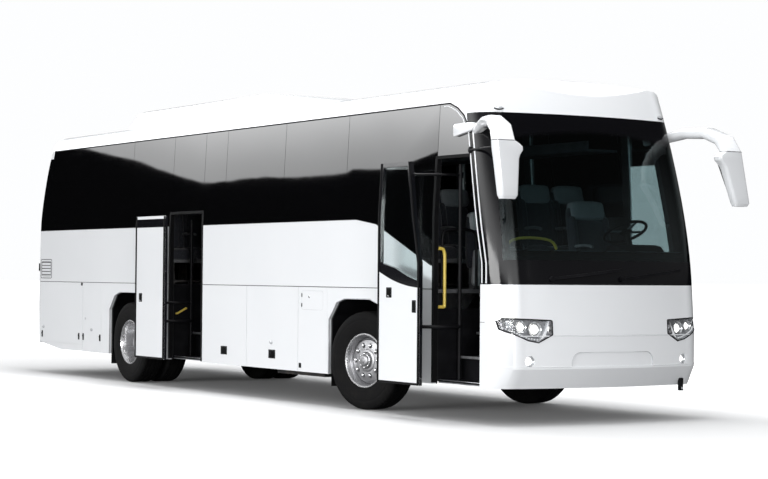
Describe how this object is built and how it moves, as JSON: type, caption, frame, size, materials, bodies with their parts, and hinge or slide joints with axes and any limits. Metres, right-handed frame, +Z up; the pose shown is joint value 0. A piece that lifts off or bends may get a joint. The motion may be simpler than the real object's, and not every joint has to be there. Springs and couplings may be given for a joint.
{
  "type": "coach bus",
  "caption": "Two-axle touring coach with luggage bays under a high floor, dark band glazing, two outward-swinging passenger doors and steered front wheels.",
  "frame": {"origin": "on the ground under the middle of the overall length and width, mirrors included", "axes": "+X towards the front of the coach, +Y to its left side, +Z up"},
  "size_m": [11.93, 3.148, 3.62],
  "materials": {
    "body_paint": "gloss",
    "dark_glazing": "gloss",
    "clear_glass": "gloss",
    "lamp_glass": "gloss",
    "lamp_red": "gloss",
    "black_trim": "satin",
    "chassis_black": "satin",
    "rubber_bellows": "matte",
    "cast_engine": "matte",
    "grey_fabric": "matte",
    "floor_vinyl": "matte",
    "bay_sheet": "satin",
    "rail_yellow": "gloss",
    "rack_grey": "satin",
    "tyre_rubber": "matte",
    "polished_rim": "polished"
  },
  "bodies": {
    "root": {"air_conditioner": "body_paint", "air_springs": "rubber_bellows", "chassis_frame": "chassis_black", "dashboard": "black_trim", "engine": "cast_engine", "front_axle": "chassis_black", "front_bumper": "body_paint", "front_cap": "body_paint", "front_lamps": "lamp_glass", "front_mask": "body_paint", "fuel_tank": "chassis_black", "handrails": "rail_yellow", "luggage_bay": "bay_sheet", "luggage_racks": "rack_grey", "mirrors": "body_paint", "rear_axle": "chassis_black", "rear_bumper": "body_paint", "rear_lamps": "lamp_red", "rear_wall": "body_paint", "rear_window": "dark_glazing", "roof": "body_paint", "saloon_floor": "floor_vinyl", "seats": "grey_fabric", "side_wall_left": "body_paint", "side_wall_right": "body_paint", "stairwells": "floor_vinyl", "wheel_housings": "black_trim", "windows_left": "dark_glazing", "windows_right": "dark_glazing", "windscreen": "clear_glass", "windscreen_frame": "black_trim", "wipers": "black_trim"},
    "knuckle_right": {"knuckle_right": "chassis_black"},
    "knuckle_left": {"knuckle_left": "chassis_black"},
    "front_wheel_right": {"front_wheel_right": "polished_rim", "front_tyre_right": "tyre_rubber"},
    "front_wheel_left": {"front_wheel_left": "polished_rim", "front_tyre_left": "tyre_rubber"},
    "rear_wheel_right": {"rear_wheel_right": "polished_rim", "rear_tyres_right": "tyre_rubber"},
    "rear_wheel_left": {"rear_wheel_left": "polished_rim", "rear_tyres_left": "tyre_rubber"},
    "steering_wheel": {"steering_wheel": "black_trim"},
    "front_door_arm": {"front_door_arm": "black_trim"},
    "front_door_leaf": {"front_door": "body_paint", "front_door_glass": "clear_glass"},
    "mid_door_arm": {"mid_door_arm": "black_trim"},
    "mid_door_leaf": {"mid_door": "body_paint"},
    "engine_door": {"engine_door": "body_paint"},
    "roof_hatch_front": {"roof_hatch_front": "body_paint"},
    "roof_hatch_rear": {"roof_hatch_rear": "body_paint"},
    "luggage_flap_right_rear": {"luggage_flap_right_rear": "body_paint"},
    "luggage_flap_right_front": {"luggage_flap_right_front": "body_paint"},
    "service_flap_right": {"service_flap_right": "body_paint"},
    "engine_flap_right_rear": {"engine_flap_right_rear": "body_paint"},
    "engine_flap_right_front": {"engine_flap_right_front": "body_paint"},
    "luggage_flap_left_rear": {"luggage_flap_left_rear": "body_paint"},
    "luggage_flap_left_front": {"luggage_flap_left_front": "body_paint"},
    "engine_flap_left": {"engine_flap_left": "body_paint"}
  },
  "joints": [
    {"name": "steer_right", "type": "hinge", "parent": "root", "child": "knuckle_right", "pos_m": [2.965, -0.88, 0.522], "axis": [0, 0, 1], "range_deg": [-53, 27]},
    {"name": "steer_left", "type": "hinge", "parent": "root", "child": "knuckle_left", "pos_m": [2.965, 0.88, 0.522], "axis": [0, 0, 1], "range_deg": [-53, 27]},
    {"name": "steering_wheel_turn", "type": "hinge", "parent": "root", "child": "steering_wheel", "pos_m": [5.145, 0.62, 1.89], "axis": [-0.4695, 0, 0.8829], "range_deg": [-848, 432]},
    {"name": "front_wheel_right_spin", "type": "hinge", "parent": "knuckle_right", "child": "front_wheel_right", "pos_m": [3.01066, -1.0778, 0.522], "axis": [-0.225, 0.9744, 0], "continuous": true},
    {"name": "front_wheel_left_spin", "type": "hinge", "parent": "knuckle_left", "child": "front_wheel_left", "pos_m": [2.91933, 1.0778, 0.522], "axis": [-0.225, 0.9744, 0], "continuous": true},
    {"name": "rear_wheel_right_spin", "type": "hinge", "parent": "root", "child": "rear_wheel_right", "pos_m": [-2.835, -1.083, 0.522], "axis": [0, 1, 0], "continuous": true},
    {"name": "rear_wheel_left_spin", "type": "hinge", "parent": "root", "child": "rear_wheel_left", "pos_m": [-2.835, 1.083, 0.522], "axis": [0, 1, 0], "continuous": true},
    {"name": "front_door_swing", "type": "hinge", "parent": "root", "child": "front_door_arm", "pos_m": [4.515, -0.98544, 0.92], "axis": [0, 0, 1], "range_deg": [0, 94.4]},
    {"name": "front_door_follow", "type": "hinge", "parent": "front_door_arm", "child": "front_door_leaf", "pos_m": [4.28568, -1.42975, 0.92], "axis": [0, 0, 1], "range_deg": [-94.4, 0]},
    {"name": "mid_door_swing", "type": "hinge", "parent": "root", "child": "mid_door_arm", "pos_m": [-1.505, -0.98881, 0.83], "axis": [0, 0, 1], "range_deg": [0, 77.8]},
    {"name": "mid_door_follow", "type": "hinge", "parent": "mid_door_arm", "child": "mid_door_leaf", "pos_m": [-1.60523, -1.42996, 0.83], "axis": [0, 0, 1], "range_deg": [-77.8, 0]},
    {"name": "engine_door_lift", "type": "hinge", "parent": "root", "child": "engine_door", "pos_m": [-5.947, 0, 1.7597], "axis": [0, 1, 0], "range_deg": [0, 80]},
    {"name": "roof_hatch_front_lift", "type": "hinge", "parent": "root", "child": "roof_hatch_front", "pos_m": [2.4647, 0, 3.4], "axis": [0, 1, 0], "range_deg": [0, 35]},
    {"name": "roof_hatch_rear_lift", "type": "hinge", "parent": "root", "child": "roof_hatch_rear", "pos_m": [-4.2353, 0, 3.4], "axis": [0, 1, 0], "range_deg": [0, 35]},
    {"name": "luggage_flap_right_rear_lift", "type": "hinge", "parent": "root", "child": "luggage_flap_right_rear", "pos_m": [0, -1.25, 1.2947], "axis": [-1, 0, 0], "range_deg": [0, 80]},
    {"name": "luggage_flap_right_front_lift", "type": "hinge", "parent": "root", "child": "luggage_flap_right_front", "pos_m": [0, -1.25, 1.2947], "axis": [-1, 0, 0], "range_deg": [0, 80]},
    {"name": "service_flap_right_lift", "type": "hinge", "parent": "root", "child": "service_flap_right", "pos_m": [0, -1.25, 1.2947], "axis": [-1, 0, 0], "range_deg": [0, 80]},
    {"name": "engine_flap_right_rear_lift", "type": "hinge", "parent": "root", "child": "engine_flap_right_rear", "pos_m": [0, -1.25, 1.2947], "axis": [-1, 0, 0], "range_deg": [0, 80]},
    {"name": "engine_flap_right_front_lift", "type": "hinge", "parent": "root", "child": "engine_flap_right_front", "pos_m": [0, -1.25, 1.2947], "axis": [-1, 0, 0], "range_deg": [0, 80]},
    {"name": "luggage_flap_left_rear_lift", "type": "hinge", "parent": "root", "child": "luggage_flap_left_rear", "pos_m": [0, 1.25, 1.2947], "axis": [1, 0, 0], "range_deg": [0, 80]},
    {"name": "luggage_flap_left_front_lift", "type": "hinge", "parent": "root", "child": "luggage_flap_left_front", "pos_m": [0, 1.25, 1.2947], "axis": [1, 0, 0], "range_deg": [0, 80]},
    {"name": "engine_flap_left_lift", "type": "hinge", "parent": "root", "child": "engine_flap_left", "pos_m": [0, 1.25, 1.2947], "axis": [1, 0, 0], "range_deg": [0, 80]}
  ],
  "couplings": [
    {"joint": "steer_left", "follows": "steer_right", "ratio": 1},
    {"joint": "steering_wheel_turn", "follows": "steer_right", "ratio": 16},
    {"joint": "front_door_follow", "follows": "front_door_swing", "ratio": -1},
    {"joint": "mid_door_follow", "follows": "mid_door_swing", "ratio": -1}
  ]
}
